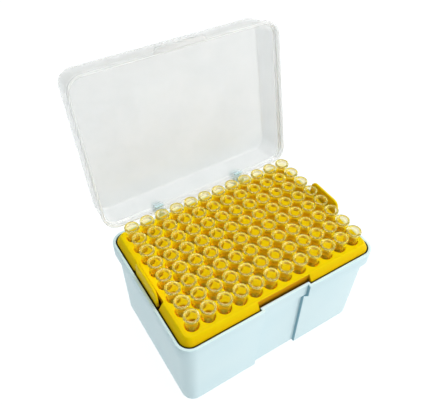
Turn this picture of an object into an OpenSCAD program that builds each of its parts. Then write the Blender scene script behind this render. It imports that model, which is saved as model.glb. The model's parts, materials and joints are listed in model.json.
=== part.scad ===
// Box of pipette tips: a deep base, a rack that drops into it with 96 tips,
// and a shallow clear lid that clips to two hooks behind the base.
// The origin is the middle of the base's underside. X runs along the long side,
// the front faces -Y, the hinge is behind on +Y, and the lid is drawn open.

/* [Tip grid] */
// Distance between neighbouring tips, centre to centre
pitch = 9; // [9:0.25:11]
// Distance from the end columns' centres to the rack's edge
edge_x = 8.4; // [8.2:0.1:14]
// Distance from the outer rows' centres to the rack's edge
edge_y = 8.1; // [7.9:0.1:14]

/* [Base] */
// Height of the base, from the table to its rim
base_h = 59; // [49:0.5:72]
// Thickness of the base's walls and floor
base_wall = 1.6; // [1.4:0.1:2]
// Height of the wider band around the base's rim
band_h = 9.5; // [7.5:0.5:12]
// How far the band stands out from the wall below it
band_out = 1.7; // [1.4:0.1:2]
// Height of the slope under the band
band_slope = 1; // [0.4:0.1:1.6]
// How far the walls lean in between the band and the table
base_taper = 1.1; // [0:0.1:2]
// Corner radius of the base
corner_r = 8; // [7:0.5:10]
// Width of the finger recess in the front of the band
recess_w = 27.4; // [20:0.2:40]
// Depth of the finger recess
recess_d = 1.7; // [1:0.1:1.8]

/* [Rack] */
// Gap between the rack and the base's rim
rack_gap = 0.7; // [0.3:0.05:0.9]
// Height of the rack's deck above the base's rim
deck_rise = 4; // [3:0.25:5]
// Thickness of the rack's deck
deck_t = 1.6; // [1.2:0.1:2.2]
// Thickness of the rack's skirt and lift tabs
skirt_t = 1.4; // [1.2:0.1:1.7]
// How far the rack's shoulder slopes in, from its edge to the deck
shoulder = 2.4; // [1.8:0.1:2.8]
// Diameter of the rack's holes
hole_d = 7.3; // [7.2:0.1:7.6]
// Depth of the seat in each hole that a tip rests on
seat_depth = 3; // [2.4:0.1:3.6]
// Length of each lift tab at its foot
tab_l = 24; // [20:0.5:32]
// Height of the lift tabs above the base's rim
tab_rise = 10.3; // [7:0.1:12]
// Width of the slots around the lift tabs
tab_slot = 1.7; // [1.2:0.1:1.9]

/* [Tips] */
// Length of a tip
tip_l = 51; // [42:0.5:56]
// Diameter of a tip's rim
tip_d = 8; // [7.5:0.05:8.3]
// Height of the tips' rims above the deck
tip_rise = 8; // [6.5:0.25:9.5]
// Diameter of the straight bore that a pipette's cone seals in
socket_d = 5.4; // [5:0.05:5.6]
// Length of that straight bore
socket_l = 6; // [4:0.25:7]
// Diameter of the hole in a tip's point
orifice_d = 0.6; // [0.4:0.05:0.8]

/* [Lid] */
// Height of the lid
lid_h = 20.2; // [17:0.1:30]
// Thickness of the lid's walls
lid_wall = 1.4; // [1.1:0.1:1.7]
// How far the lid's rim stands out past the base at each end
lid_over_x = 0.4; // [0.2:0.1:1]
// How far the lid's rim stands out past the base at the front and the back
lid_over_y = 1.5; // [1.3:0.1:1.7]
// Height of the bead around the lid's rim
bead_h = 3.2; // [2:0.1:4]
// How far the bead stands out from the lid's wall
bead_out = 0.6; // [0.4:0.1:0.8]
// How far the lid's walls lean in between the bead and the top
lid_taper = 0.7; // [0.3:0.1:1.2]
// Radius of the edge around the lid's top
lid_edge_r = 2; // [1.5:0.1:3]
// Width of the finger lip on the lid's front
lip_w = 30; // [20:1:40]
// How far the finger lip stands out
lip_out = 2; // [1:0.1:2.4]

/* [Hinge] */
// Angle between the closed lid and the open lid
open_angle = 103.5; // [95:0.5:115]
// Distance of each hinge from the middle of the box
hinge_x = 27; // [25:0.5:42]
// Diameter of the pins on the lid
pin_d = 2.5; // [2.2:0.1:2.6]
// Gap between a pin and its hook, all round
pin_gap = 0.08; // [0.05:0.01:0.1]
// Width of each hook on the base
hook_w = 5; // [4:0.5:8]

/* [Hidden] */
$fn = 48;

// How far a cutter runs past a face that it only meets, and past the outside of the box
eps = 0.01;
over = 5;

columns = 12;
rows = 8;

// Half sizes of the rack's edge, the base's opening, its band and its body
rack_x = (columns - 1) * pitch / 2 + edge_x;
rack_y = (rows - 1) * pitch / 2 + edge_y;
mouth_x = rack_x + rack_gap;
mouth_y = rack_y + rack_gap;
band_x = mouth_x + base_wall;
band_y = mouth_y + base_wall;
body_x = band_x - band_out;
body_y = band_y - band_out;

// Corner radii of the same outlines
mouth_r = corner_r - base_wall;
rack_r = mouth_r - rack_gap;

// Heights
body_h = base_h - band_h;
ledge_z = body_h + base_wall;
deck_z = base_h + deck_rise;
seat_z = deck_z - seat_depth;
rim_z = deck_z + tip_rise;
tab_z = base_h + tab_rise;

// The finger recess: half widths at the band, under the band and at the table
recess_band = recess_w / 2;
recess_top = recess_band - 1.3;
recess_foot = recess_band + 0.3;

// Small bevels on the base
foot_bevel = 0.8;
rim_bevel = 0.4;

// The rack's hollow: how far it slopes in under the shoulder, and where that starts below the rim
inner_shoulder = shoulder * 0.8;
inner_drop = 0.6;

// The notch in the rack's shoulder over the finger recess, cut back to the edge of the deck
notch_d = max(recess_d, shoulder);
notch_x = recess_band + base_wall + rack_gap;

// The bays behind the rack's lift tabs: where they start, their length and their thin walls
bay_x = rack_x - skirt_t - tab_slot;
bay_l = tab_l + 2 * tab_slot;
bay_z = ledge_z + 3;
bay_wall = 0.7;

// A tip: radii, and depths below its rim
rim_r = tip_d / 2;
neck_r = hole_d / 2 - 0.42;
stem_r = socket_d / 2 - 0.05;
tip_wall = 0.5;
throat_r = socket_d / 2 - tip_wall;
point_r = orifice_d / 2 + tip_wall / 2;
rim_bead = 1.2;
rim_slope = rim_r - neck_r;
edge_bevel = 0.15;
mouth_bevel = 0.4;
seat_drop = tip_rise + seat_depth;
stem_l = 12;
stem_taper = 0.35;

// A sleeve under each of the rack's holes
sleeve_r = hole_d / 2 + 0.6;
sleeve_floor = 1.4;
stem_gap = 0.25;

// The lid: half sizes at its rim, where it closes, and how far the step inside is below the bead's top
lid_gap = 0.2;
lid_x = band_x + lid_over_x;
lid_y = band_y + lid_over_y;
lid_r = corner_r + 1;
rim_t = lid_wall + bead_out;
step_drop = lid_wall * 0.4;
lip_h = 2;

// The hinge's axis, its pins and its hooks
axis_y = lid_y + 0.5;
axis_z = base_h + 2.5;
pin_r = pin_d / 2;
bore_r = pin_r + pin_gap;
hook_wall = 1;
hook_r = bore_r + hook_wall;
snap_w = pin_d * 0.86;
snap_lean = 30;
barrel_r = 1.9;
cheek_w = 3;
side_gap = 0.4;
swing_gap = 0.4;
window_w = hook_w + 2 * side_gap;
pin_rise = axis_z - base_h - lid_gap;

// The lugs that carry the hooks: their root in the band, and the shelf behind that stops the lid
root_y = band_y - base_wall / 2;
root_z = base_h - 3;
shelf_y = axis_y + 7.2;
shelf_low = axis_z - 3.4;
shelf_high = axis_z + 3;
gusset_t = 2;
gusset_z = body_h + 2;
stop_gap = 0.06;

// A solid with a rounded oblong plan: profile lists [corner radius, height] from the bottom up,
// and the corners' centres stand at (cx, cy), so each wall is at its radius from them
module oblong(cx, cy, profile) {
    first = profile[0][1];
    last = profile[len(profile) - 1][1];
    outline = concat([[0, first]], profile, [[0, last]]);
    function half(c) = [for (p = profile) [c + p[0], p[1]]];
    function other(c) = [for (i = [len(profile) - 1 : -1 : 0]) [-c - profile[i][0], profile[i][1]]];
    for (sx = [-1, 1], sy = [-1, 1])
        translate([sx * cx, sy * cy, 0])
            rotate_extrude()
                polygon(outline);
    rotate([90, 0, 90])
        translate([0, 0, -cx])
            linear_extrude(2 * cx)
                polygon(concat(half(cy), other(cy)));
    rotate([90, 0, 0])
        translate([0, 0, -cy])
            linear_extrude(2 * cy)
                polygon(concat(half(cx), other(cx)));
}

// The same solid, given by the half sizes and radius of its widest outline
module oblong_at(hx, hy, r, profile) {
    oblong(hx - r, hy - r, profile);
}

// The finger recess as a cutter, which leans and steps as the wall does. Its floor lies back behind
// the wall's outside, with its sides as much wider, and it steps out over band_slope from step_z.
module recess(back, step_z) {
    top_z = base_h + over;
    function side(w) = [
        [w * (recess_foot + back), -eps], [w * (recess_top + back), step_z],
        [w * (recess_band + back), step_z + band_slope], [w * (recess_band + back), top_z]
    ];
    left = side(-1);
    intersection() {
        rotate([90, 0, 0])
            translate([0, 0, band_y - 2 * over])
                linear_extrude(4 * over)
                    polygon(concat(side(1), [for (i = [3 : -1 : 0]) left[i]]));
        rotate([90, 0, 90])
            translate([0, 0, -recess_w])
                linear_extrude(2 * recess_w)
                    polygon([
                        [-band_y - over, -eps],
                        [-body_y + base_taper + recess_d + back, -eps],
                        [-body_y + recess_d + back, step_z],
                        [-band_y + recess_d + back, step_z + band_slope],
                        [-band_y + recess_d + back, top_z],
                        [-band_y - over, top_z]
                    ]);
    }
}

// The outside of the base: a leaning body under a wider band
module base_outside() {
    oblong_at(body_x, body_y, corner_r, [
        [corner_r - base_taper - foot_bevel, 0],
        [corner_r - base_taper, foot_bevel],
        [corner_r, body_h + eps]
    ]);
    oblong_at(band_x, band_y, corner_r, [
        [corner_r - band_out, body_h],
        [corner_r, body_h + band_slope],
        [corner_r, base_h - rim_bevel],
        [corner_r - rim_bevel, base_h]
    ]);
}

// The inside of the base: a leaning well, and a wider mouth that leaves a ledge for the rack
module base_inside() {
    well_r = corner_r - base_wall;
    oblong_at(body_x - base_wall, body_y - base_wall, well_r, [
        [well_r - base_taper - foot_bevel, base_wall],
        [well_r - base_taper, base_wall + foot_bevel],
        [well_r, ledge_z + eps]
    ]);
    oblong_at(mouth_x, mouth_y, mouth_r, [
        [mouth_r, ledge_z],
        [mouth_r, base_h + 1]
    ]);
}

// A hook around the lid's pin, on a root that grows out of the base's band
module hinge_hook() {
    crosswise(hook_w)
        polygon([
            [root_y, root_z], [axis_y, root_z], [axis_y + hook_r, axis_z],
            [axis_y, axis_z], [root_y, axis_z - hook_r]
        ]);
    crosswise(hook_w)
        translate([axis_y, axis_z])
            circle(hook_r);
}

// Behind the hook, a shelf on a gusset, cut to the open lid's back wall, which lands on it
module hinge_shelf() {
    difference() {
        union() {
            crosswise(hook_w)
                polygon([
                    [axis_y, root_z], [shelf_y, shelf_low], [shelf_y, shelf_high],
                    [axis_y + hook_r, shelf_high], [axis_y, axis_z - hook_r]
                ]);
            crosswise(gusset_t)
                polygon([[root_y, gusset_z], [band_y + 1, gusset_z], [shelf_y, shelf_low], [root_y, root_z + 1]]);
        }
        opened()
            lid_outside(stop_gap);
    }
}

// Extrudes a profile drawn in the Y-Z plane to a width along X, centred
module crosswise(width) {
    translate([-width / 2, 0, 0])
        rotate([90, 0, 90])
            linear_extrude(width)
                children();
}

module base() {
    color([0.86, 0.92, 0.94])
        difference() {
            union() {
                difference() {
                    base_outside();
                    difference() {
                        base_inside();
                        recess(base_wall, ledge_z - band_slope);
                    }
                    recess(0, body_h);
                }
                for (side = [-1, 1])
                    translate([side * hinge_x, 0, 0]) {
                        hinge_hook();
                        hinge_shelf();
                    }
            }
            // the hooks' bores, and the snap mouths above them
            for (side = [-1, 1])
                translate([side * hinge_x - hook_w / 2 - 1, axis_y, axis_z]) {
                    rotate([0, 90, 0])
                        cylinder(r = bore_r, h = hook_w + 2);
                    rotate([snap_lean, 0, 0])
                        translate([0, -snap_w / 2, 0])
                            cube([hook_w + 2, snap_w, 2 * hook_r]);
                }
        }
}

// One of the rack's holes: a wide mouth, a seat, and a narrow way through for the tip's stem
module rack_hole() {
    translate([0, 0, seat_z])
        cylinder(d = hole_d, h = seat_depth + 1);
    translate([0, 0, seat_z - sleeve_floor - 1])
        cylinder(r = stem_r + stem_gap, h = sleeve_floor + 2);
}

// Puts its children at every hole
module at_holes() {
    for (c = [0 : columns - 1], r = [0 : rows - 1])
        translate([(c - (columns - 1) / 2) * pitch, (r - (rows - 1) / 2) * pitch, 0])
            children();
}

// The rack's outside: a skirt on the base's ledge, a sloping shoulder and a flat deck
module rack_outside() {
    oblong_at(rack_x, rack_y, rack_r, [
        [rack_r, ledge_z],
        [rack_r, base_h],
        [rack_r - shoulder, deck_z]
    ]);
}

module rack_inside() {
    inner_r = rack_r - skirt_t;
    oblong_at(rack_x - skirt_t, rack_y - skirt_t, inner_r, [
        [inner_r, ledge_z - 1],
        [inner_r, base_h - inner_drop],
        [inner_r - inner_shoulder, deck_z - deck_t]
    ]);
}

// A lift tab as a flat plate in the Y-Z plane, with its upper corners rounded
module tab_plate(thick) {
    top_r = 4;
    lean = 0.8;
    rotate([90, 0, 90])
        linear_extrude(thick)
            union() {
                polygon([
                    [-tab_l / 2, ledge_z + 2], [tab_l / 2, ledge_z + 2], [tab_l / 2, base_h],
                    [tab_l / 2 - lean, tab_z - top_r], [-tab_l / 2 + lean, tab_z - top_r], [-tab_l / 2, base_h]
                ]);
                for (s = [-1, 1])
                    translate([s * (tab_l / 2 - lean - top_r), tab_z - top_r])
                        circle(top_r);
                translate([-tab_l / 2 + lean + top_r, tab_z - 2 * top_r])
                    square([tab_l - 2 * (lean + top_r), 2 * top_r]);
            }
}

// The thin walls and floor of a bay, as a block that the bay is then cut from
module bay_block(side) {
    floor_z = bay_z - bay_wall;
    intersection() {
        rack_outside();
        translate([side * (bay_x - bay_wall + over / 2), 0, (floor_z + deck_z) / 2])
            cube([over, bay_l + 2 * bay_wall, deck_z - floor_z], center = true);
    }
}

module rack() {
    color([0.96, 0.80, 0.02])
        difference() {
            union() {
                difference() {
                    union() {
                        difference() {
                            rack_outside();
                            rack_inside();
                        }
                        // the skirt's set-back stretch behind the finger recess
                        intersection() {
                            rack_outside();
                            translate([-notch_x - skirt_t, -rack_y, ledge_z])
                                cube([2 * (notch_x + skirt_t), notch_d + skirt_t, deck_z - ledge_z]);
                        }
                        for (side = [-1, 1])
                            bay_block(side);
                        at_holes()
                            translate([0, 0, seat_z - sleeve_floor])
                                cylinder(r = sleeve_r, h = deck_z - deck_t / 2 - seat_z + sleeve_floor);
                    }
                    // the notch that follows the finger recess
                    translate([-notch_x, -rack_y - over, ledge_z - 1])
                        cube([2 * notch_x, over + notch_d, deck_z - ledge_z + 2]);
                    // the bays behind and beside the lift tabs
                    for (side = [-1, 1])
                        translate([side * (bay_x + over / 2), 0, bay_z + deck_z / 2])
                            cube([over, bay_l, deck_z], center = true);
                }
                for (side = [-1, 1])
                    translate([side == 1 ? rack_x - skirt_t : -rack_x, 0, 0])
                        tab_plate(skirt_t);
            }
            at_holes()
                rack_hole();
        }
}

// One tip, with its rim at z = 0 and its point down
module tip() {
    land_r = socket_d / 2;
    rotate_extrude()
        polygon([
            [land_r, -socket_l - mouth_bevel],
            [land_r, -mouth_bevel],
            [land_r + mouth_bevel, 0],
            [rim_r - edge_bevel, 0],
            [rim_r, -edge_bevel],
            [rim_r, -rim_bead],
            [neck_r, -rim_bead - rim_slope],
            [neck_r, -seat_drop],
            [stem_r, -seat_drop],
            [stem_r - stem_taper, -seat_drop - stem_l],
            [point_r, -tip_l],
            [orifice_d / 2, -tip_l],
            [stem_r - stem_taper - tip_wall, -seat_drop - stem_l],
            [throat_r, -seat_drop + 1]
        ]);
}

// One column of eight tips, standing in the rack
module tips_column(number) {
    color([0.93, 0.95, 0.92])
        for (r = [0 : rows - 1])
            translate([(number - 1 - (columns - 1) / 2) * pitch, (r - (rows - 1) / 2) * pitch, rim_z])
                tip();
}

// Carries its children from the closed lid's place to the open one
module opened() {
    translate([0, axis_y, axis_z])
        rotate([-open_angle, 0, 0])
            translate([0, -axis_y, base_h + lid_gap - axis_z])
                children();
}

// The lid's outside, standing on z = 0, made larger all round by grow
module lid_outside(grow) {
    wall_r = lid_r - bead_out;
    oblong_at(lid_x, lid_y, lid_r, concat(
        [
            [lid_r + grow, 0],
            [lid_r + grow, bead_h],
            [wall_r + grow, bead_h + bead_out]
        ],
        [for (a = [0 : 15 : 90]) [
            wall_r + grow - lid_taper - lid_edge_r * (1 - cos(a)),
            lid_h + grow - lid_edge_r * (1 - sin(a))
        ]]
    ));
}

module lid_inside() {
    mouth = lid_r - lid_wall;
    hollow_r = lid_r - rim_t;
    inner_edge_r = lid_edge_r - lid_wall / 2;
    oblong_at(lid_x - lid_wall, lid_y - lid_wall, mouth, concat(
        [[mouth, -1], [mouth, bead_h - step_drop], [hollow_r, bead_h - step_drop + bead_out]],
        [for (a = [0 : 15 : 90]) [
            hollow_r - lid_taper - inner_edge_r * (1 - cos(a)),
            lid_h - lid_wall - inner_edge_r * (1 - sin(a))
        ]]
    ));
}

// The lid's hinge barrel, standing on z = 0: it runs along the back of the rim,
// and necks down to a pin in front of each hook
module lid_barrel() {
    reach = hinge_x + window_w / 2 + cheek_w;
    crosswise(2 * reach)
        translate([axis_y, pin_rise])
            circle(pin_r);
    difference() {
        crosswise(2 * reach)
            union() {
                translate([axis_y, pin_rise])
                    circle(barrel_r);
                translate([lid_y - rim_t / 2, pin_rise - barrel_r])
                    square([axis_y - lid_y + rim_t / 2, 2 * barrel_r]);
            }
        hook_windows();
    }
}

// The windows in the lid's back wall that let the hooks reach its pins
module hook_windows() {
    margin = 4;
    for (side = [-1, 1])
        translate([side * hinge_x - window_w / 2, lid_y - rim_t - margin, -1])
            cube([window_w, rim_t + 2 * margin + barrel_r, pin_rise + hook_r + swing_gap + 1]);
}

module lid() {
    color([0.93, 0.94, 0.94, 0.45])
        opened()
            union() {
                difference() {
                    union() {
                        lid_outside(0);
                        // the finger lip, with slanted ends
                        linear_extrude(lip_h)
                            polygon([
                                [-lip_w / 2, -lid_y + 1], [-lip_w / 2, -lid_y],
                                [-lip_w / 2 + lip_out, -lid_y - lip_out],
                                [lip_w / 2 - lip_out, -lid_y - lip_out],
                                [lip_w / 2, -lid_y], [lip_w / 2, -lid_y + 1]
                            ]);
                    }
                    lid_inside();
                    hook_windows();
                }
                lid_barrel();
            }
}

base();
rack();
lid();
tips_column(1);  // tips_column_01
tips_column(2);  // tips_column_02
tips_column(3);  // tips_column_03
tips_column(4);  // tips_column_04
tips_column(5);  // tips_column_05
tips_column(6);  // tips_column_06
tips_column(7);  // tips_column_07
tips_column(8);  // tips_column_08
tips_column(9);  // tips_column_09
tips_column(10);  // tips_column_10
tips_column(11);  // tips_column_11
tips_column(12);  // tips_column_12
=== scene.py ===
import json
import math

import bmesh
import bpy
from mathutils import Matrix, Vector


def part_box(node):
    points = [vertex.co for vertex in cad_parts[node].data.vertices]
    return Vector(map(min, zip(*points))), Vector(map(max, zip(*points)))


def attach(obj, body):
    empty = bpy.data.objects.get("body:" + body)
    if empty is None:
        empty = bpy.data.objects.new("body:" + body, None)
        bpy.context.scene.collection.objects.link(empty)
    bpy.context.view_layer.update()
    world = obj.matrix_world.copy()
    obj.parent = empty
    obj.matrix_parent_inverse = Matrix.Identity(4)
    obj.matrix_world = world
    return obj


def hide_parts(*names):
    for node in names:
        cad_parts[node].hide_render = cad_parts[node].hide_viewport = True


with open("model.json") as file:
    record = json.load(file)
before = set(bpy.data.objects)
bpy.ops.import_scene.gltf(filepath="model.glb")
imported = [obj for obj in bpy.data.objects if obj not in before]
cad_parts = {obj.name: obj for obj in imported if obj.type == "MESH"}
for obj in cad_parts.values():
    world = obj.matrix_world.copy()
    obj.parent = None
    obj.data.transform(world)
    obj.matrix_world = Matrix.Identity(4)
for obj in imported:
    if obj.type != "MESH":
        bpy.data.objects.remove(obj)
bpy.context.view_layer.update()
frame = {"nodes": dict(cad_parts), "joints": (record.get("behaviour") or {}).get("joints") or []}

# %% [markdown]
# The box is measured in millimetres here, because that is how its maker would draw it. The packed
# model gives the outer sizes of each moulding. What it can't give, such as how far the ledge lies
# below the rim, is named once below and used by every piece that meets there.

# %% Sizes
MM = 0.001
NEAR = 1e-6  # metres; points closer than this count as one


def box_mm(node):
    """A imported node's lowest and highest corners, in millimetres."""
    low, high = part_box(node)
    return low / MM, high / MM


base_low, base_high = box_mm("base")
rack_low, rack_high = box_mm("rack")
first_low, first_high = box_mm("tips_column_01")

columns, rows = 12, 8
tip_d = first_high.x - first_low.x
pitch = (first_high.y - first_low.y - tip_d) / (rows - 1)
rim_z = first_high.z
tip_l = rim_z - first_low.z

rack_x, rack_y = rack_high.x, rack_high.y
band_x, band_y = base_high.x, -base_low.y
ledge_z = rack_low.z
tab_z = rack_high.z

ledge_drop = 7.9
deck_rise = 4
seat_drop = 3
base_wall = 1.6
deck_t = 1.6
corner_r = 8.0
base_h = ledge_z + ledge_drop
body_h = ledge_z - base_wall
deck_z = base_h + deck_rise
seat_z = deck_z - seat_drop
print(f"pitch {pitch:.2f}, rim of the base at {base_h:.1f}, deck at {deck_z:.1f}, tips at {rim_z:.1f}")

# %% [markdown]
# Mouldings like these are drawn as outlines stacked in height. Each outline is an oblong with
# rounded corners, and the wall is the skin between one outline and the next. One function makes an
# outline and another makes the skin, so the base, the rack and the lid all come from short tables.
# A sharp corner in a table is softened before use, because no moulded edge is a knife edge.

# %% Outlines
ARC = 12  # steps round a corner
OBLONG = 4 * (ARC + 1)  # points in an outline with no step in it


def step_points(half, depth, soft):
    """(x, inward) along a straight edge, left to right, of a step back with softened corners."""
    soft = min(soft, depth / 2)
    turns = [math.radians(22.5 * i) for i in range(5)]
    side = [(half + soft - soft * math.sin(t), soft - soft * math.cos(t)) for t in turns]
    side += [(half - soft + soft * math.cos(t), depth - soft + soft * math.sin(t)) for t in turns]
    return [(-x, d) for x, d in side] + [(x, d) for x, d in reversed(side)]


def outline(half_x, half_y, radius, z, front=(), ends=()):
    """An oblong outline at height z, anticlockwise from the front right corner.

    front and ends are steps, as step_points gives them, in the front edge and in both ends.
    The points of the front's step come last.
    """
    corners = ((1, -1, -90), (1, 1, 0), (-1, 1, 90), (-1, -1, 180))
    points = []
    for n, (sx, sy, start) in enumerate(corners):
        for i in range(ARC + 1):
            a = math.radians(start + 90 * i / ARC)
            points.append((sx * (half_x - radius) + radius * math.cos(a),
                           sy * (half_y - radius) + radius * math.sin(a), z))
        if n == 0:
            points += [(half_x - d, y, z) for y, d in ends]
        if n == 2:
            points += [(-half_x + d, -y, z) for y, d in ends]
    return points + [(x, -half_y + d, z) for x, d in front]


def softened(table, steps=4):
    """Turns each inner row of a table into a curve that starts and ends a little away from it.

    A row is (soft, numbers): how far away, and half x, half y, radius, z and whatever follows.
    """
    values = [Vector(numbers) for _, numbers in table]
    out = [values[0]]
    for k in range(1, len(table) - 1):
        soft, here = table[k][0], values[k]
        if not soft:
            out.append(here)
            continue
        near = []
        for other in (values[k - 1], values[k + 1]):
            away = other - here
            run = math.hypot(away[0], away[3])
            near.append(here + away * min(0.45, soft / run))
        for i in range(steps + 1):
            t = i / steps
            out.append(near[0] * (1 - t) ** 2 + here * (2 * t * (1 - t)) + near[1] * t ** 2)
    return out + [values[-1]]


print("a plain outline has", OBLONG, "points")

# %% [markdown]
# A mesh is only a list of points and a list of faces that name them. Keeping parts as plain lists
# until the last moment makes them easy to move, mirror and join. Faces are wound so that their
# outer side faces outwards, because the renderer and the exported model both rely on it.

# %% Skins and pieces
def skin(rings, start=True, end=True):
    """Points and outward faces of the skin through rings of equal length, with its ends closed."""
    n = len(rings[0])
    verts = [p for ring in rings for p in ring]
    faces = [(k * n + i, k * n + (i + 1) % n, (k + 1) * n + (i + 1) % n, (k + 1) * n + i)
             for k in range(len(rings) - 1) for i in range(n)]
    if start:
        faces.append(tuple(reversed(range(n))))
    if end:
        faces.append(tuple(range((len(rings) - 1) * n, len(rings) * n)))
    return verts, faces


def unpacked(work, unit=1.0):
    """The points and faces of a bmesh, which is then let go."""
    index = {v: i for i, v in enumerate(work.verts)}
    verts = [tuple(v.co / unit) for v in work.verts]
    faces = [tuple(index[v] for v in f.verts) for f in work.faces]
    work.free()
    return verts, faces


def shade(obj, smooth=40):
    """Smooth shading across edges that turn by less than smooth degrees."""
    mesh = obj.data
    mesh.polygons.foreach_set("use_smooth", [True] * len(mesh.polygons))
    mesh.set_sharp_from_angle(angle=math.radians(smooth))
    mesh.update()


def piece(name, parts, **values):
    """One mesh object, in metres, from parts in millimetres.

    values are numbers to store on the mesh's first points, for the materials to read.
    """
    verts, faces = [], []
    for v, f in parts:
        faces += [tuple(len(verts) + i for i in face) for face in f]
        verts += [Vector(p) * MM for p in v]
    mesh = bpy.data.meshes.new(name)
    mesh.from_pydata(verts, [], faces)
    for key, numbers in values.items():
        stored = mesh.attributes.new(key, "FLOAT", "POINT")
        for k, number in enumerate(numbers):
            stored.data[k].value = number
    obj = bpy.data.objects.new(name, mesh)
    bpy.context.scene.collection.objects.link(obj)
    shade(obj)
    return obj


def open_edges(obj):
    """How many edges don't lie between exactly two faces. A closed shell has none."""
    work = bmesh.new()
    work.from_mesh(obj.data)
    count = sum(not e.is_manifold for e in work.edges)
    work.free()
    return count


# %% [markdown]
# The base is one deep moulding: a leaning body, a wider band around the rim, a finger recess down
# the front and, inside, a ledge that carries the rack. The recess is only a change in the front
# edge of every outline, so it needs no cutting. The last number in a row is half the recess's
# width there. The table goes up the outside, over the rim and down the inside to the floor.

# %% Base
recess_d = 1.7
recess_soft = 0.3
recess_foot, recess_top, recess_band = 14.0, 12.4, 13.7
body_in = 1.7
body_lean = 1.1
foot_in = 6
lean_in = body_lean + base_wall
body_x, body_y = band_x - body_in, band_y - body_in


def base_row(soft, x, y, inward, z, half):
    """One row of the base's table, inward from a half size x by y whose corners have corner_r."""
    return soft, (x - inward, y - inward, corner_r - inward, z, half)


base_rows = softened([
    base_row(0, body_x, body_y, foot_in, 0, recess_foot),
    base_row(0.9, body_x, body_y, body_lean, 0, recess_foot),
    base_row(0.3, body_x, body_y, 0, body_h, recess_top),
    base_row(0.4, band_x, band_y, 0, body_h + 1, recess_band),
    base_row(0.5, band_x, band_y, 0, base_h, recess_band),
    base_row(0.45, band_x, band_y, base_wall, base_h, recess_band + base_wall),
    base_row(0, band_x, band_y, base_wall, base_h - 1.2, recess_band + base_wall),
    base_row(0.3, band_x, band_y, base_wall, ledge_z, recess_band + base_wall),
    base_row(0.3, body_x, body_y, base_wall, ledge_z, recess_top + base_wall),
    base_row(0.9, body_x, body_y, lean_in, base_wall, recess_foot + base_wall),
    base_row(0, body_x, body_y, corner_r - 0.5, base_wall, recess_foot + base_wall),
])
base_skin = skin([
    outline(*row[:4], front=step_points(row[4], recess_d, recess_soft)) for row in base_rows
])
print("base:", len(base_rows), "outlines of", len(base_skin[0]) // len(base_rows), "points")

# %% [markdown]
# Shade falls where two walls are close, and here it is painted into the colour. So each point of the
# base stores how much painted shade it gets, from 0 to 1, and the base's finish reads that number
# later. Two places get it: the inside of the rim, where the rack stands close, and the two steps at
# the sides of the finger recess.

# %% Painted shade on the base
rim_row = max(range(len(base_rows)), key=lambda k: base_rows[k][3])
step_shade_shares = 2 * [0, 0.2, 0.5, 0.7, 0.7, 0.7, 0.7, 0.5, 0.2, 0]
shade_run = 0.5


def shade_on_outline(k, z):
    """How much painted shade outline k gets at height z: one number round the oblong, then one per step
    point.
    """
    below_rim = min(1.0, max(0.0, (base_h - z) / shade_run))
    if k <= rim_row:
        return [0.0] * OBLONG + [below_rim * share for share in step_shade_shares]
    return [below_rim if z >= ledge_z else 0.0] * (OBLONG + len(step_shade_shares))


base_shade_numbers = [number for k, row in enumerate(base_rows) for number in shade_on_outline(k, row[3])]
print("hidden points on the base:", sum(number > 0 for number in base_shade_numbers), "of", len(base_shade_numbers))

# %% [markdown]
# The two hinge hooks stand behind the band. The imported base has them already, with the bores that
# the lid's pins turn in, so they are cut off a copy of it with one plane just behind the band. A
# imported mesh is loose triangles, so its doubles are merged first. The cut roots are then sunk into
# the band's wall, because the hooks and the base are one moulding and no gap may be left between.

# %% Hinge hooks
cut_clear = 0.01
root_deep = 0.4


def hinge_hooks():
    """The hooks and their shelves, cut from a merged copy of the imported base."""
    work = bmesh.new()
    work.from_mesh(frame["nodes"]["base"].data)
    bmesh.ops.remove_doubles(work, verts=work.verts, dist=NEAR)
    cut = bmesh.ops.bisect_plane(work, geom=work.verts[:] + work.edges[:] + work.faces[:],
                                 plane_co=(0, (band_y + cut_clear) * MM, 0), plane_no=(0, 1, 0),
                                 clear_inner=True)
    cut_edges = [e for e in cut["geom_cut"] if isinstance(e, bmesh.types.BMEdge)]
    bmesh.ops.holes_fill(work, edges=cut_edges, sides=0)
    for v in work.verts:
        on_cut = v.co.y < (band_y + cut_clear + 0.001) * MM
        if on_cut and v.co.z < base_h * MM:
            v.co.y = (band_y - root_deep) * MM
    bmesh.ops.recalc_face_normals(work, faces=work.faces[:])
    return unpacked(work, MM)


# The base's points carry the painted-shade numbers that its finish reads.
base = piece("tip_box_base", [base_skin, hinge_hooks()], crevice=base_shade_numbers)
print("base:", len(base.data.polygons), "faces,", open_edges(base), "open edges")

# %% [markdown]
# Node trees are hard to read when they are built link by link. Here a small class wraps a socket,
# and adding or multiplying two of them adds the Math node that does it, so the maths in a tree
# reads as maths. Every other node comes from one method, which takes the node's kind, its settings
# and the values or links of its sockets. Shapes, finishes and the sky are all built with it.

# %% Nodes written as sums
class Signal:
    """What comes out of a node. A number answers to +, -, * and abs."""

    def __init__(self, maker, socket):
        self.maker, self.socket = maker, socket

    def _math(self, operation, *values):
        return self.maker.add("ShaderNodeMath", {"operation": operation}, dict(enumerate(values)))

    def __add__(self, other):
        return self._math("ADD", self, other)

    def __sub__(self, other):
        return self._math("SUBTRACT", self, other)

    def __rsub__(self, other):
        return self._math("SUBTRACT", other, self)

    def __mul__(self, other):
        return self._math("MULTIPLY", self, other)

    def __abs__(self):
        return self._math("ABSOLUTE", self)

    __radd__, __rmul__ = __add__, __mul__


class NodeMaker:
    """Makes the nodes of one tree."""

    def __init__(self, tree):
        self.tree = tree

    def put(self, socket, value):
        """Links a signal to a socket, or sets the socket to a plain value."""
        if isinstance(value, Signal):
            self.tree.links.new(value.socket, socket)
        else:
            socket.default_value = value

    def add(self, kind, settings, inputs, output=0):
        """One node, and the signal from one of its outputs. A node with no output gives None."""
        node = self.tree.nodes.new(kind)
        for key, value in settings.items():
            setattr(node, key, value)
        for key, value in inputs.items():
            self.put(node.inputs[key], value)
        return Signal(self, node.outputs[output]) if node.outputs else None


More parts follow.
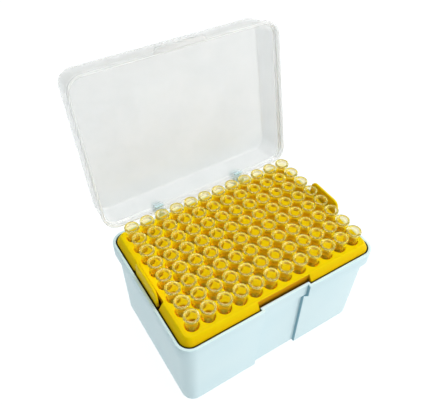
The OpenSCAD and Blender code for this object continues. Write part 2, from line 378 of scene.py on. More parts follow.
# %% [markdown]
# Ninety-six holes and ninety-six tips repeat one shape each, so both are made once and spread by
# Geometry Nodes. The tree is small: a grid of points, the shape on every point, and a material.
# A ready-made grid with only one column has no width, so the points come from two crossed lines.
# The copies are made real at the end, because an exported model can't keep them as instances.

# %% Geometry Nodes for a grid of copies
def grid_tree(name):
    """A tree that puts its Shape on a grid of Columns by Rows points around its Centre."""
    tree = bpy.data.node_groups.new(name, "GeometryNodeTree")
    for label, kind in (("Shape", "Object"), ("Columns", "Int"), ("Rows", "Int"), ("Pitch", "Float"),
                        ("Centre", "Vector"), ("Material", "Material")):
        tree.interface.new_socket(label, in_out="INPUT", socket_type="NodeSocket" + kind)
    tree.interface.new_socket("Geometry", in_out="OUTPUT", socket_type="NodeSocketGeometry")
    maker = NodeMaker(tree)

    def given(label):
        return maker.add("NodeGroupInput", {}, {}, label)

    def line(count, axis):
        step = maker.add("ShaderNodeCombineXYZ", {}, {axis: given("Pitch")})
        return maker.add("GeometryNodeMeshLine", {"mode": "OFFSET"},
                         {"Count": given(count), "Offset": step})

    cross = maker.add("GeometryNodeInstanceOnPoints", {},
                      {"Points": line("Columns", "X"), "Instance": line("Rows", "Y")})
    spots = maker.add("GeometryNodeRealizeInstances", {}, {"Geometry": cross})
    back = maker.add("ShaderNodeCombineXYZ", {}, {"X": (given("Columns") - 1) * given("Pitch") * -0.5,
                                                  "Y": (given("Rows") - 1) * given("Pitch") * -0.5})
    corner = maker.add("ShaderNodeVectorMath", {"operation": "ADD"}, {0: back, 1: given("Centre")})
    placed = maker.add("GeometryNodeTransform", {}, {"Geometry": spots, "Translation": corner})
    shape = maker.add("GeometryNodeObjectInfo", {"transform_space": "ORIGINAL"},
                      {"Object": given("Shape")}, "Geometry")
    copies = maker.add("GeometryNodeInstanceOnPoints", {}, {"Points": placed, "Instance": shape})
    real = maker.add("GeometryNodeRealizeInstances", {}, {"Geometry": copies})
    painted = maker.add("GeometryNodeSetMaterial", {}, {"Geometry": real, "Material": given("Material")})
    maker.add("NodeGroupOutput", {}, {0: painted})
    return tree


def spread(name, tree, **inputs):
    """A new object with its own mesh, from the tree run with these inputs."""
    host = bpy.data.objects.new(name, bpy.data.meshes.new(name))
    bpy.context.scene.collection.objects.link(host)
    modifier = host.modifiers.new("copies", "NODES")
    modifier.node_group = tree
    for item in tree.interface.items_tree:
        if item.in_out == "INPUT" and item.name in inputs:
            modifier[item.identifier] = inputs[item.name]
    bpy.context.view_layer.update()
    ready = host.evaluated_get(bpy.context.evaluated_depsgraph_get())
    mesh = bpy.data.meshes.new_from_object(ready)
    host.modifiers.clear()
    host.data = mesh
    mesh.name = name
    return host


copies_tree = grid_tree("copies on a grid")
print("grid tree:", len(copies_tree.nodes), "nodes")

# %% [markdown]
# Anything round is turned, as on a lathe: a profile of (radius, height) pairs goes once around the
# Z axis. A closed profile comes back to its start, as the wall of a hollow tip does. An open one
# leaves its two ends to be closed with discs, as on a bar.

# %% Turned shapes
def turned(profile, segments, closed=True):
    """A shape turned about Z from (radius, z) pairs."""
    turns = [2 * math.pi * i / segments for i in range(segments)]
    verts = [(r * math.cos(a), r * math.sin(a), z) for r, z in profile for a in turns]
    faces = []
    for k in range(len(profile) if closed else len(profile) - 1):
        a, b = k * segments, (k + 1) % len(profile) * segments
        faces += [(a + i, a + (i + 1) % segments, b + (i + 1) % segments, b + i) for i in range(segments)]
    return verts, faces


# %% [markdown]
# A tip is a thin cone with a collar. The collar holds the pipette's nose, and the step under it
# rests on the seat in the rack. Clear plastic shows both of its skins, so the inside is modelled
# as carefully as the outside, with a rounded rim that catches the light. Heights in the profile
# are measured down from the rim.

# %% One tip, and twelve columns of them
rim_r = tip_d / 2
neck_r = 3.23
land_r = 2.7
stem_r = 2.65
flare = rim_r - neck_r
drop = rim_z - seat_z
stem_run = 12
point_run = 8
tip_profile = [
    # up the socket that takes the pipette's nose, and over the rounded rim
    (land_r, -6.4), (land_r, -0.55), (land_r + 0.08, -0.3), (land_r + 0.22, -0.1), (land_r + 0.42, 0),
    (rim_r - 0.3, 0), (rim_r - 0.09, -0.09), (rim_r, -0.3), (rim_r, -1.1), (rim_r - 0.08, -1.3),
    # in under the rim, down the collar, and in under its step
    (neck_r + 0.12, -1.1 - flare), (neck_r, -1.4 - flare), (neck_r, -drop + 0.12),
    (neck_r - 0.12, -drop), (stem_r, -drop),
    # down the stem to the point, and back up inside
    (stem_r - 0.35, -drop - stem_run), (0.8, -tip_l + point_run), (0.56, -tip_l + 0.1),
    (0.46, -tip_l), (0.3, -tip_l), (0.42, -tip_l + point_run), (stem_r - 0.85, -drop - stem_run),
    (2.15, -drop + 0.4), (2.25, -drop + 1.2),
]
tip_segments = 40
tip = piece("tip", [turned(tip_profile[::-1], tip_segments)])  # reversed, so that its faces look outwards
print("one tip:", len(tip.data.polygons), "faces,", open_edges(tip), "open edges")

tip_columns = []
for n in range(columns):
    low, high = box_mm(f"tips_column_{n + 1:02d}")
    middle = ((low.x + high.x) / 2 * MM, (low.y + high.y) / 2 * MM, rim_z * MM)
    column = spread(f"pipette_tips_{n + 1:02d}", copies_tree,
                    Shape=tip, Columns=1, Rows=rows, Pitch=pitch * MM, Centre=middle)
    shade(column, 30)
    tip_columns.append(column)
bpy.data.objects.remove(tip)
print("tips:", len(tip_columns), "columns of", len(tip_columns[0].data.polygons), "faces")

# %% [markdown]
# The rack is a thin tray upside down: a deck full of sleeved holes, a sloping shoulder and a skirt
# that stands on the base's ledge. The deck around each hole is one square tile, so the hole's edge
# can be truly rounded. A tile is rings of points: the square's edge, then the hole from the top of
# the deck down to the seat and the sleeve's foot, and back up outside the sleeve to the square.

# %% The rack's deck, from one tile
hole_r = 3.65
through_r = stem_r + 0.25
sleeve_r = hole_r + 0.6
sleeve_z = seat_z - 1.4
under_z = deck_z - deck_t
SIDE = 8  # points along one side of a tile


def tile():
    """One tile around the Z axis, open at its square edges, which its neighbours close.

    Its rings start at the square's front left corner, so that no face is twisted.
    """
    half = pitch / 2
    count = 4 * SIDE
    corners = [(-half, -half), (half, -half), (half, half), (-half, half)]
    square = [Vector(corners[k]).lerp(Vector(corners[(k + 1) % 4]), i / SIDE)
              for k in range(4) for i in range(SIDE)]
    rings = [(None, deck_z), (hole_r + 0.3, deck_z), (hole_r + 0.12, deck_z - 0.06), (hole_r, deck_z - 0.3),
             (hole_r, seat_z + 0.15), (hole_r - 0.15, seat_z), (through_r, seat_z), (through_r, sleeve_z),
             (sleeve_r - 0.15, sleeve_z), (sleeve_r, sleeve_z + 0.15), (sleeve_r, under_z), (None, under_z)]
    ring_points = []
    for r, z in rings:
        turns = [math.radians(-135) + 2 * math.pi * i / count for i in range(count)]
        ring_points.append([(p.x, p.y, z) if r is None else (r * math.cos(a), r * math.sin(a), z)
                            for a, p in zip(turns, square)])
    return skin(ring_points, False, False)


def merged(obj):
    """Joins vertices that lie together."""
    work = bmesh.new()
    work.from_mesh(obj.data)
    bmesh.ops.remove_doubles(work, verts=work.verts, dist=NEAR)
    work.to_mesh(obj.data)
    work.free()


hole_tile = piece("hole_tile", [tile()])
deck = spread("deck", copies_tree,
              Shape=hole_tile, Columns=columns, Rows=rows, Pitch=pitch * MM, Centre=(0, 0, 0))
bpy.data.objects.remove(hole_tile)
merged(deck)
print("deck:", len(deck.data.polygons), "faces")

# %% [markdown]
# The shoulder and the skirt are skins again, one outside and one inside. Two things cut into their
# outlines: a notch in the middle of the front, and a bay at each end where a lift tab stands. A
# bay begins above the foot of the skirt, so its depth is switched on between two rows at the same
# height. The last number in a row is that switch.

# %% The rack's shoulder and skirt
rack_r = corner_r - base_wall - 0.7
notch_half = 16.0
skirt_t = 1.4
bay_wall = 0.7
shoulder = 2.4
tab_half = 12.0
tab_slot = 1.7
bay_half = tab_half + tab_slot
bay_x = rack_x - skirt_t - tab_slot
slot_z = ledge_z + 3
under_lean = shoulder * 0.8
grid_x, grid_y = columns * pitch / 2, rows * pitch / 2


def rack_row(soft, inward, z, bay, wall=0.0):
    """One row of a rack table, inward from the outline that lies wall behind the rack's outside."""
    inward += wall
    return soft, (rack_x - inward, rack_y - inward, rack_r - inward, z, bay)


def rack_outline(hx, hy, r, z, wall, bay):
    """One outline of the rack. wall is how far this skin lies behind the rack's outside."""
    notch = max(0.0, min(shoulder, hy - (rack_y - shoulder - wall)))
    behind = bay_wall if wall else 0
    deep = max(0.0, hx - bay_x + behind) * bay
    return outline(hx, hy, r, z, front=step_points(notch_half + wall, notch, recess_soft),
                   ends=step_points(bay_half + behind, deep, recess_soft))


def rack_rings(table, wall):
    """The outlines of one of the rack's two skins, from its table."""
    return [rack_outline(hx, hy, r, z, wall, min(1, max(0, bay))) for hx, hy, r, z, bay in softened(table)]


deck_edge = (rack_x - shoulder - 0.6, rack_y - shoulder - 0.6, rack_r - shoulder - 0.3, deck_z, 1)
outer = rack_rings([
    rack_row(0, skirt_t / 2, ledge_z, 0),
    rack_row(0.2, 0, ledge_z, 0),
    rack_row(0, 0, slot_z, 0),
    rack_row(0, 0, slot_z, 1),
    rack_row(0.5, 0, base_h, 1),
    rack_row(0.7, shoulder, deck_z, 1),
    (0, deck_edge),
], 0)
inner = rack_rings([
    rack_row(0, under_lean, under_z, 1, skirt_t),
    rack_row(0, 0, base_h - 0.6, 1, skirt_t),
    rack_row(0, 0, slot_z - bay_wall, 1, skirt_t),
    rack_row(0, 0, slot_z - bay_wall, 0, skirt_t),
    rack_row(0, 0, ledge_z, 0, skirt_t),
], skirt_t)
print("rack:", len(outer), "outlines outside and", len(inner), "inside")

# %% [markdown]
# The deck of tiles and the two skins don't share points, so the strips between them are filled
# flat, once on top and once underneath. After that the rack is one closed shell, and its faces can
# be turned outwards all at once.

# %% The rack's shell
def sewn(shell, middle, levels):
    """Adds middle's mesh to shell's and fills the flat gap between them at each of these heights."""
    work = bmesh.new()
    work.from_mesh(shell.data)
    work.from_mesh(middle.data)
    bmesh.ops.remove_doubles(work, verts=work.verts, dist=2 * NEAR)
    for level in levels:
        gap = [e for e in work.edges
               if e.is_boundary and all(abs(v.co.z - level * MM) < NEAR for v in e.verts)]
        bmesh.ops.triangle_fill(work, edges=gap, use_beauty=True, use_dissolve=False)
    bmesh.ops.recalc_face_normals(work, faces=work.faces[:])
    work.to_mesh(shell.data)
    work.free()


rack = piece("tip_rack", [skin(outer, False, False), skin(inner + outer[:1], False, False)])
sewn(rack, deck, (deck_z, under_z))
bpy.data.objects.remove(deck)
print("rack shell:", len(rack.data.polygons), "faces,", open_edges(rack), "open edges")

# %% [markdown]
# A lift tab is a flat plate that a finger pulls up, with rounded shoulders. It is drawn as an
# outline, given its thickness, and its rims are bevelled. The same function makes the lid's lip.
# Each tab stands in its bay and runs a little into the rack, as a moulded tab grows out of it.

# %% Lift tabs
def rounded_plate(points, thick, soft):
    """A flat plate with this outline in (y, z), thick along x, with its rims rounded."""
    work = bmesh.new()
    face = work.faces.new([work.verts.new((0, y, z)) for y, z in points])
    grown = bmesh.ops.extrude_face_region(work, geom=[face])["geom"]
    far_side = [v for v in grown if isinstance(v, bmesh.types.BMVert)]
    bmesh.ops.translate(work, verts=far_side, vec=(thick, 0, 0))
    rims = [e for e in work.edges if abs(e.verts[0].co.x - e.verts[1].co.x) < 1e-6]
    bmesh.ops.bevel(work, geom=rims, offset=soft, segments=3, profile=0.5, affect="EDGES")
    bmesh.ops.recalc_face_normals(work, faces=work.faces[:])
    return unpacked(work)


def shifted(part, dx):
    """A part moved along X."""
    verts, faces = part
    return [(x + dx, y, z) for x, y, z in verts], faces


def join(main, other):
    """Adds other's mesh to main's, as closed shells of one piece."""
    work = bmesh.new()
    work.from_mesh(main.data)
    work.from_mesh(other.data)
    bpy.data.objects.remove(other)
    work.to_mesh(main.data)
    work.free()


tab_top = 4.0
tab_lean = 0.8
tab_steps = 8
top_mid = tab_half - tab_lean - tab_top
shoulder_arc = []
for i in range(tab_steps + 1):
    a = math.radians(90 * i / tab_steps)
    shoulder_arc.append((top_mid + tab_top * math.cos(a), tab_z - tab_top + tab_top * math.sin(a)))
tab_points = [(-tab_half, slot_z - 0.4), (tab_half, slot_z - 0.4), (tab_half, base_h), *shoulder_arc,
              *[(-y, z) for y, z in reversed(shoulder_arc)], (-tab_half, base_h)]
tab = rounded_plate(tab_points, skirt_t, 0.4)
tab_x = rack_x - skirt_t - 0.02
join(rack, piece("rack_tabs", [shifted(tab, tab_x), shifted(tab, -tab_x - skirt_t)]))
print("rack with its tabs:", len(rack.data.polygons), "faces,", open_edges(rack), "open edges")

# %% [markdown]
# The lid is drawn closed, standing on its rim, and is swung open about the hinge at the end. Its
# table goes from the middle of the plate down the inside, under the rim and up the outside. The
# rounded steps and the foot of the rim get a painted highlight, so those points store a number too.

# %% Lid skin
hinge = frame["joints"][0]
axis_y, axis_z = hinge["pos_m"][1] / MM, hinge["pos_m"][2] / MM
open_angle = hinge["range_deg"][1]
_, lid_high = box_mm("lid")
lid_x, lid_y, lid_r, lid_h = lid_high.x, axis_y - 0.5, corner_r + 1, 20.2
rim_t, lid_wall, lid_gap = 2.0, 1.4, 0.2
plate_under = lid_h - lid_wall
plate_middle = (lid_x - 7, lid_y - 7, 2.0)


def lid_row(soft, inward, z):
    """One row of the lid's table, inward from its rim."""
    return soft, (lid_x - inward, lid_y - inward, lid_r - inward, z)


lid_rows = softened([
    (0, (*plate_middle, plate_under)),
    lid_row(1.4, 2.7, plate_under),
    lid_row(0.3, rim_t, 3.25),
    lid_row(0.3, lid_wall, 2.65),
    lid_row(0.3, lid_wall, 0),
    lid_row(0.4, 0, 0),
    lid_row(0.3, 0, 3.2),
    lid_row(0.4, 0.6, 3.8),
    lid_row(2.2, 1.3, lid_h),
    (0, (*plate_middle, lid_h)),
], steps=6)
foot_row = min(range(len(lid_rows)), key=lambda k: lid_rows[k][3])
step_inside, step_outside = (2.5, 3.4), (3.15, 3.9)
lid_highlight_numbers = []
for k, row in enumerate(lid_rows):
    step_low, step_high = step_inside if k < foot_row else step_outside
    # Painted highlight: strong on the rounded steps, weaker at the foot.
    highlight_share = 0.9 if step_low < row[3] < step_high else 0.5 if row[3] < 0.05 else 0.0
    lid_highlight_numbers += [highlight_share] * OBLONG
lid = piece("clear_lid", [skin([outline(*row) for row in lid_rows])], edges=lid_highlight_numbers)
print("lid skin:", len(lid.data.polygons), "faces,", open_edges(lid), "open edges")

# %% [markdown]
# The lid is clear, so its parts have to be one skin: where two shells overlap, a clear material
# shows the seam. They could be modelled as one mesh by hand, but booleans join and cut simple
# shapes and keep each size easy to change. Three helpers do it: a box, a bar and one boolean.

# %% Shapes to join and cut with
def block(name, low, high):
    """A box from low to high."""
    work = bmesh.new()
    bmesh.ops.create_cube(work, size=1)
    for v in work.verts:
        v.co = Vector(((low[k] + high[k]) / 2 + v.co[k] * (high[k] - low[k])) for k in range(3)) * MM
    mesh = bpy.data.meshes.new(name)
    work.to_mesh(mesh)
    work.free()
    obj = bpy.data.objects.new(name, mesh)
    bpy.context.scene.collection.objects.link(obj)
    return obj


def rod(name, radius, half, y, z, segments=32):
    """A round bar along X, with softened ends."""
    soft = min(0.3, radius / 3)
    profile = [(0.01, -half), (radius - soft, -half), (radius, -half + soft),
               (radius, half - soft), (radius - soft, half), (0.01, half)]
    verts, faces = turned(profile, segments, closed=False)
    last = (len(profile) - 1) * segments
    faces += [tuple(reversed(range(segments))), tuple(range(last, last + segments))]
    return piece(name, [([(c, a + y, b + z) for a, b, c in verts], faces)])


def carve(target, tool, operation):
    """Runs one exact boolean and keeps its result as a plain mesh."""
    step = target.modifiers.new(operation.lower(), "BOOLEAN")
    step.operation, step.solver, step.object = operation, "EXACT", tool
    ready = target.evaluated_get(bpy.context.evaluated_depsgraph_get())
    mesh = bpy.data.meshes.new_from_object(ready)
    target.modifiers.clear()
    target.data = mesh
    bpy.data.objects.remove(tool)


# %% [markdown]
# At the front the lid has a lip for a finger. At the back a bar runs along it, with a window for
# each of the base's two hooks, and in each window only a thin pin is left for the hook to hold.
# So the bar and the web that ties it to the wall are joined on first, then the windows are cut,
# and the pins are put in last, because they cross the windows.

# %% Lid
hook_x, window_half, cheek = 27.0, 2.9, 3.0
window_rise = 2.73
barrel_r, pin_r = 1.9, 1.25
web_half = 1.6
pin_rise = axis_z - base_h - lid_gap
reach = hook_x + window_half + cheek
lip_half, lip_out, lip_h = 15.0, 2.0, 2.0

lip_points = [(-lip_half, lid_y - 1), (-lip_half, lid_y), (-lip_half + lip_out, lid_y + lip_out),
              (lip_half - lip_out, lid_y + lip_out), (lip_half, lid_y), (lip_half, lid_y - 1)]
lip_verts, lip_faces = rounded_plate(lip_points, lip_h, 0.3)
carve(lid, piece("lip", [([(x, -y, z) for z, x, y in lip_verts], lip_faces)]), "UNION")
carve(lid, rod("barrel", barrel_r, reach, axis_y, pin_rise), "UNION")
carve(lid, block("web", (-reach + 0.3, lid_y - 1.0, pin_rise - web_half),
                 (reach - 0.3, axis_y, pin_rise + web_half)), "UNION")
for side in (-1, 1):
    x = side * hook_x
    carve(lid, block("window", (x - window_half, lid_y - 6, -2),
                     (x + window_half, lid_y + 6, pin_rise + window_rise)), "DIFFERENCE")
carve(lid, rod("pins", pin_r, reach - 0.8, axis_y, pin_rise, 24), "UNION")

stand = Matrix.Translation((0, -axis_y * MM, (base_h + lid_gap - axis_z) * MM))
swing = Matrix.Rotation(math.radians(-open_angle), 4, "X")
to_hinge = Matrix.Translation((0, axis_y * MM, axis_z * MM))
lid.data.transform(to_hinge @ swing @ stand)
shade(lid, 32)
print("lid:", len(lid.data.polygons), "faces,", open_edges(lid), "open edges; box off by",
      [round(max(v.co[k] for v in lid.data.vertices) / MM - lid_high[k], 2) for k in range(3)])

# %% [markdown]
# A finish is a node tree around one Principled shader. The methods below are the few things that
# these finishes do: a noise, a soft step from one value to another, a blend of two colours, a
# bump, and reading a place or a number stored on the mesh. Places come from Object coordinates,
# so a pattern stays on its piece when the piece moves. The last method is for clear pieces, and
# lets lamps shine through them.

# %% Finishes
class Finish(NodeMaker):
    """A material around one Principled shader."""

    def __init__(self, name):
        self.material = bpy.data.materials.new(name)
        self.material.use_nodes = True
        super().__init__(self.material.node_tree)
        self.surface = self.tree.nodes["Principled BSDF"]
        self.place = self.add("ShaderNodeTexCoord", {}, {}, "Object")

    def set(self, **inputs):
        for key, value in inputs.items():
            self.put(self.surface.inputs[key.replace("_", " ")], value)

    def noise(self, per_mm, detail):
        return self.add("ShaderNodeTexNoise", {},
                        {"Vector": self.place, "Scale": per_mm / MM, "Detail": detail})

    def band(self, value, low, high, to_low=0.0, to_high=1.0):
        """Goes from to_low to to_high as value goes from low to high, and stays there."""
        return self.add("ShaderNodeMapRange", {}, {"Value": value, "From Min": low, "From Max": high,
                                                   "To Min": to_low, "To Max": to_high})

    def blend(self, factor, a, b):
        """Colour a where factor is 0, and colour b where it is 1."""
        return self.add("ShaderNodeMix", {"data_type": "RGBA"}, {"Factor": factor, 6: a, 7: b}, 2)

    def bump(self, height, strength, depth_mm):
        return self.add("ShaderNodeBump", {},
                        {"Height": height, "Strength": strength, "Distance": depth_mm * MM})

    def stored(self, key):
        """A number that was stored on the mesh's points."""
        return self.add("ShaderNodeAttribute", {"attribute_name": key}, {}, "Fac")

    def along(self, axis):
        """Position along one axis, in millimetres."""
        return self.add("ShaderNodeSeparateXYZ", {}, {0: self.place}, axis) * (1 / MM)

    def mix(self, factor, a, b):
        """Shader a where factor is 0, and shader b where it is 1."""
        return self.add("ShaderNodeMixShader", {}, {0: factor, 1: a, 2: b})

    def let_lamps_through(self, look, tint=(1, 1, 1, 1)):
        """Light from lamps and from matt surfaces passes straight on, and the eye still sees look."""
        shadow = self.add("ShaderNodeLightPath", {}, {}, "Is Shadow Ray")
        from_matt = self.add("ShaderNodeLightPath", {}, {}, "Is Diffuse Ray")
        nothing = self.add("ShaderNodeBsdfTransparent", {}, {"Color": tint})
        both = self.mix(shadow + from_matt, look, nothing)
        self.put(self.tree.nodes["Material Output"].inputs["Surface"], both)


# %% [markdown]
# The base is pale polypropylene. The mould leaves a very fine matt texture on it, and the plastic
# lets a little light in before it comes back, so subsurface scattering keeps its shadows soft. The
# hidden places get painted shade: blue down the recess's steps, and dark teal in the gap by the rack.

# %% Base finish
pale = Finish("pale_polypropylene")
pale_cool, pale_warm = (0.69, 0.865, 0.915, 1), (0.73, 0.89, 0.93, 1)
step_shade_blue, gap_shade_teal = (0.03, 0.24, 0.34, 1), (0.035, 0.14, 0.15, 1)
pale_plain = pale.blend(pale.band(pale.noise(0.03, 3), 0.35, 0.65), pale_cool, pale_warm)
# Painted shade: the stored number blends in blue on the recess's steps and dark teal inside the rim.
crevice = pale.stored("crevice")
pale_shade_colour = pale.blend(pale.band(crevice, 0.75, 1), step_shade_blue, gap_shade_teal)
pale.set(
    Base_Color=pale.blend(crevice, pale_plain, pale_shade_colour),
    Roughness=pale.band(pale.noise(0.12, 4), 0.3, 0.7, 0.38, 0.5),
    Subsurface_Weight=0.12, Subsurface_Radius=(1.0, 1.0, 1.0), Subsurface_Scale=0.0015, IOR=1.49,
    Specular_IOR_Level=0.3,
    Normal=pale.bump(pale.noise(2.2, 2), 0.12, 0.05),
)
print("base finish:", len(pale.tree.nodes), "nodes")

# %% [markdown]
# The rack is a strong yellow. In such a colour the light bounces from wall to wall and turns
# orange where it is trapped. Some of that light and shade is painted on by position, so that it
# looks the same at any number of samples: painted bounce light warms the deck among the tips, and
# painted shade goes orange in the holes, ochre in the notch, dark brown below the base's rim, and
# orange down the shoulder. Each mask is a number from 0 to 1, and masks are multiplied.

# %% Rack finish
yellow = Finish("yellow_polypropylene")
yolk_deep, yolk_light = (0.93, 0.64, 0.001, 1), (0.95, 0.67, 0.001, 1)
shoulder_shade_orange, deck_painted_warm = (0.95, 0.56, 0.001, 1), (1, 0.69, 0.001, 1)
notch_shade_ochre, hole_shade_orange = (0.72, 0.3, 0.004, 1), (0.97, 0.46, 0.003, 1)
rim_gap_shade = (0.12, 0.035, 0.002, 1)
rack_height = yellow.along("Z")
across, forward = abs(yellow.along("X")), yellow.along("Y")

notch_y = -rack_y + shoulder
in_notch = (yellow.band(forward, notch_y + 0.6, notch_y + 0.3)
            * yellow.band(across, notch_half + 0.1, notch_half - 0.1))
in_grid = yellow.band(across, grid_x, grid_x - 0.1) * yellow.band(abs(forward), grid_y, grid_y - 0.1)
down_shoulder = yellow.band(rack_height, deck_z - 0.6, base_h)
down_notch = in_notch * yellow.band(rack_height, deck_z, deck_z - 1.2)
down_hole = in_grid * yellow.band(rack_height, deck_z - 0.1, deck_z - 0.9)
below_rim = yellow.band(rack_height, base_h - 0.1, base_h - 0.7) * (1 - in_notch)

rack_colour = yellow.blend(yellow.band(yellow.noise(0.05, 3), 0.35, 0.65), yolk_deep, yolk_light)
# Painted light and shade by position, blended over the plastic's own yellow.
for mask, colour in ((down_shoulder, shoulder_shade_orange), (in_grid, deck_painted_warm), (down_notch, notch_shade_ochre),
                     (down_hole, hole_shade_orange), (below_rim, rim_gap_shade)):
    rack_colour = yellow.blend(mask, rack_colour, colour)
yellow.set(
    Base_Color=rack_colour,
    Roughness=yellow.band(yellow.noise(0.2, 4), 0.3, 0.7, 0.36, 0.46), Specular_IOR_Level=0.03,
    Subsurface_Weight=0.2, Subsurface_Radius=(1.0, 0.5, 0.05), Subsurface_Scale=0.002, IOR=1.49,
    Normal=yellow.bump(yellow.noise(1.8, 2), 0.1, 0.04),
)
print("rack finish:", len(yellow.tree.nodes), "nodes")

# %% [markdown]
# The tips are clear polypropylene, which bends light at 1.49, with faint flow lines in its
# roughness. Real ones pick up the colour of the rack around them, from the light that it throws
# back. That light is painted in two ways: the clear shader is straw-coloured at the rim and more
# golden below, and a little matt plastic, painted yellow to orange, is mixed in, most at the rim
# and down in the seat. Lamps pass straight through the tips, so they cast hardly any shadow on the
# deck.

# %% Tip finish
clear = Finish("clear_polypropylene")
# Painted light from the rack: straw to golden in the clear shader, yellow to orange in the matt plastic.
golden, straw = (1, 0.95, 0.5, 1), (1, 0.985, 0.82, 1)
matt_body, matt_seat, matt_rim = (1, 0.78, 0.04, 1), (1, 0.48, 0.004, 1), (1, 0.86, 0.16, 1)
tip_height = clear.along("Z")
clear.set(
    Base_Color=clear.blend(clear.band(tip_height, rim_z - 4, rim_z - 1.5), golden, straw),
    Transmission_Weight=1.0, IOR=1.49,
    Roughness=clear.band(clear.noise(0.8, 3), 0.3, 0.7, 0.03, 0.08),
)
in_seat = clear.band(tip_height, deck_z + 1, seat_z)
at_rim = clear.band(tip_height, rim_z - 1.8, rim_z - 0.8)
matt_colour = clear.blend(at_rim, clear.blend(in_seat, matt_body, matt_seat), matt_rim)
matt = clear.add("ShaderNodeBsdfPrincipled", {},
                 {"Base Color": matt_colour, "Roughness": 0.5, "Specular IOR Level": 0.0})
glassy = Signal(clear, clear.surface.outputs[0])
clear.let_lamps_through(clear.mix(0.1 + 0.15 * in_seat + 0.2 * at_rim, glassy, matt), (1, 0.99, 0.95, 1))
print("tip finish:", len(clear.tree.nodes), "nodes")

# %% [markdown]
# The lid is milky: each of its skins hides a little over a third of what is behind it, and light
# scatters inside it. Alpha does the first, with a faint cloudiness, and subsurface scattering the
# second. Its rounded steps and its foot carry a painted highlight: whiter and less clear, from the
# number stored there. Lamps pass through it too, so it casts no shadow on the box.

# %% Lid finish
milky = Finish("milky_clear_polypropylene")
milk_grey, milk_warm, highlight_white = (0.68, 0.68, 0.675, 1), (0.72, 0.715, 0.705, 1), (1, 1, 1, 1)
# The number stored as edges is the painted highlight on the rounded steps and the foot.
milk_highlight = milky.stored("edges")
milk_plain = milky.blend(milky.band(milky.noise(0.05, 4), 0.35, 0.65), milk_grey, milk_warm)
milky.set(
    Base_Color=milky.blend(milk_highlight, milk_plain, highlight_white),
    Roughness=milky.band(milky.noise(0.15, 4), 0.3, 0.7, 0.16, 0.26),
    Alpha=milky.band(milky.noise(0.02, 2), 0.3, 0.7, 0.33, 0.39) + 0.5 * milk_highlight, IOR=1.49,
    Subsurface_Weight=1.0, Subsurface_Radius=(1.0, 1.0, 1.0), Subsurface_Scale=0.004,
    Normal=milky.bump(milky.noise(0.6, 2), 0.06, 0.05),
)
milky.let_lamps_through(Signal(milky, milky.surface.outputs[0]))
print("lid finish:", len(milky.tree.nodes), "nodes")

for obj, finish in [(base, pale), (rack, yellow), (lid, milky)] + [(c, clear) for c in tip_columns]:
    obj.data.materials.clear()
    obj.data.materials.append(finish.material)

# %% [markdown]
# The camera looks down on the box from the front left. It is turned a little about its own line
# of sight, as a hand-held one is. Blender's cameras look along their own -Z, so the direction is
# turned into a rotation first and the roll is added to it.

# %% Camera
scene = bpy.context.scene
camera_data = bpy.data.cameras.new("camera")
camera = bpy.data.objects.new("camera", camera_data)
scene.collection.objects.link(camera)
camera_data.lens, camera_data.sensor_width = 41.747, 36
camera_data.clip_start, camera_data.clip_end = 0.01, 20
eye = Vector((-0.10740, -0.14112, 0.26951))
line_of_sight = Vector((0.379885, 0.590547, -0.711999))
roll = math.radians(1.1485)
turn = line_of_sight.to_track_quat("-Z", "Y").to_matrix() @ Matrix.Rotation(roll, 3, "Z")
camera.rotation_mode = "QUATERNION"
camera.rotation_quaternion = turn.to_quaternion()
camera.location = eye
scene.camera = camera
print(f"camera: {camera_data.lens:.1f} mm lens, {eye.length:.2f} m from the origin")

# %% [markdown]
# The studio is a white floor under a white sky, with two soft boxes: one at the front right and
# one overhead. The sky that the eye sees is white, but matt surfaces get only a dim blue one, so
# the soft boxes do most of the shading. Clear pieces need many bounces, or they turn dark inside.

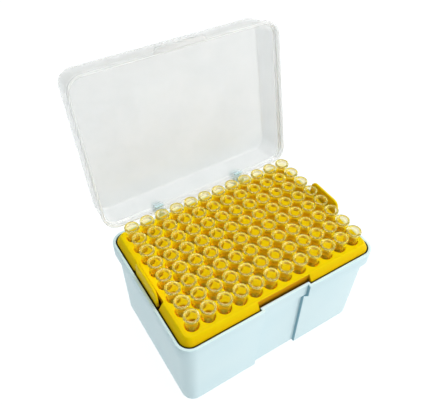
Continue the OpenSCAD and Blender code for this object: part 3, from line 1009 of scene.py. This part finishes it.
# %% Sky and soft boxes
scene.view_settings.view_transform = "Standard"
world = bpy.data.worlds.new("studio")
scene.world = world
world.use_nodes = True
sky = NodeMaker(world.node_tree)
white_sky = world.node_tree.nodes["Background"]
sky.put(white_sky.inputs["Color"], (1, 1, 1, 1))
sky.put(white_sky.inputs["Strength"], 1.0)
dim_sky = sky.add("ShaderNodeBackground", {}, {"Color": (0.5, 0.94, 1, 1), "Strength": 0.12})
matt_ray = sky.add("ShaderNodeLightPath", {}, {}, "Is Diffuse Ray")
both_skies = sky.add("ShaderNodeMixShader", {},
                     {0: matt_ray, 1: Signal(sky, white_sky.outputs[0]), 2: dim_sky})
sky.put(world.node_tree.nodes["World Output"].inputs["Surface"], both_skies)
scene.cycles.max_bounces = 24
scene.cycles.transmission_bounces = 24
scene.cycles.transparent_max_bounces = 64


def soft_box(name, place, look, side, power, tint):
    """A square area lamp at place that faces look."""
    data = bpy.data.lights.new(name, "AREA")
    data.shape = "RECTANGLE"
    data.size = data.size_y = side
    data.energy, data.color = power, tint
    obj = bpy.data.objects.new(name, data)
    scene.collection.objects.link(obj)
    obj.location = place
    obj.rotation_mode = "QUATERNION"
    obj.rotation_quaternion = (Vector(look) - Vector(place)).to_track_quat("-Z", "Y")


box_middle = (0, 0.01, 0.05)
soft_box("front_box", (0.75, -0.85, 0.5), box_middle, 0.6, 7.1, (1, 0.965, 0.945))
soft_box("top_box", (0.1, 0.1, 1.1), box_middle, 0.8, 9, (1, 0.98, 0.95))
print("lamps:", [light.name for light in bpy.data.lights])

# %% [markdown]
# The floor is paper that glows, so that it stays as white as the sky and only a faint shadow
# grounds the box. It belongs to the stage and not to the box.

# %% Floor
floor_half = 6
floor_mesh = bpy.data.meshes.new("floor")
floor_corners = [(-floor_half, -floor_half, 0), (floor_half, -floor_half, 0),
                 (floor_half, floor_half, 0), (-floor_half, floor_half, 0)]
floor_mesh.from_pydata(floor_corners, [], [(0, 1, 2, 3)])
floor = bpy.data.objects.new("floor", floor_mesh)
scene.collection.objects.link(floor)
paper = Finish("white_paper")
paper.set(Base_Color=(0.15, 0.15, 0.15, 1), Roughness=0.9, Specular_IOR_Level=0.0,
          Emission_Color=(0.96, 0.99, 1, 1), Emission_Strength=0.97)
floor_mesh.materials.append(paper.material)
print("floor:", 2 * floor_half, "m wide")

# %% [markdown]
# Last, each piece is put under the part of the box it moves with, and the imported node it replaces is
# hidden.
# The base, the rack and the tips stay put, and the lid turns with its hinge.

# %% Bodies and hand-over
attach(base, "box")
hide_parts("base")
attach(rack, "box")
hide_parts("rack")
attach(lid, "lid")
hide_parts("lid")
for n, column in enumerate(tip_columns):
    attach(column, "box")
    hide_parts(f"tips_column_{n + 1:02d}")
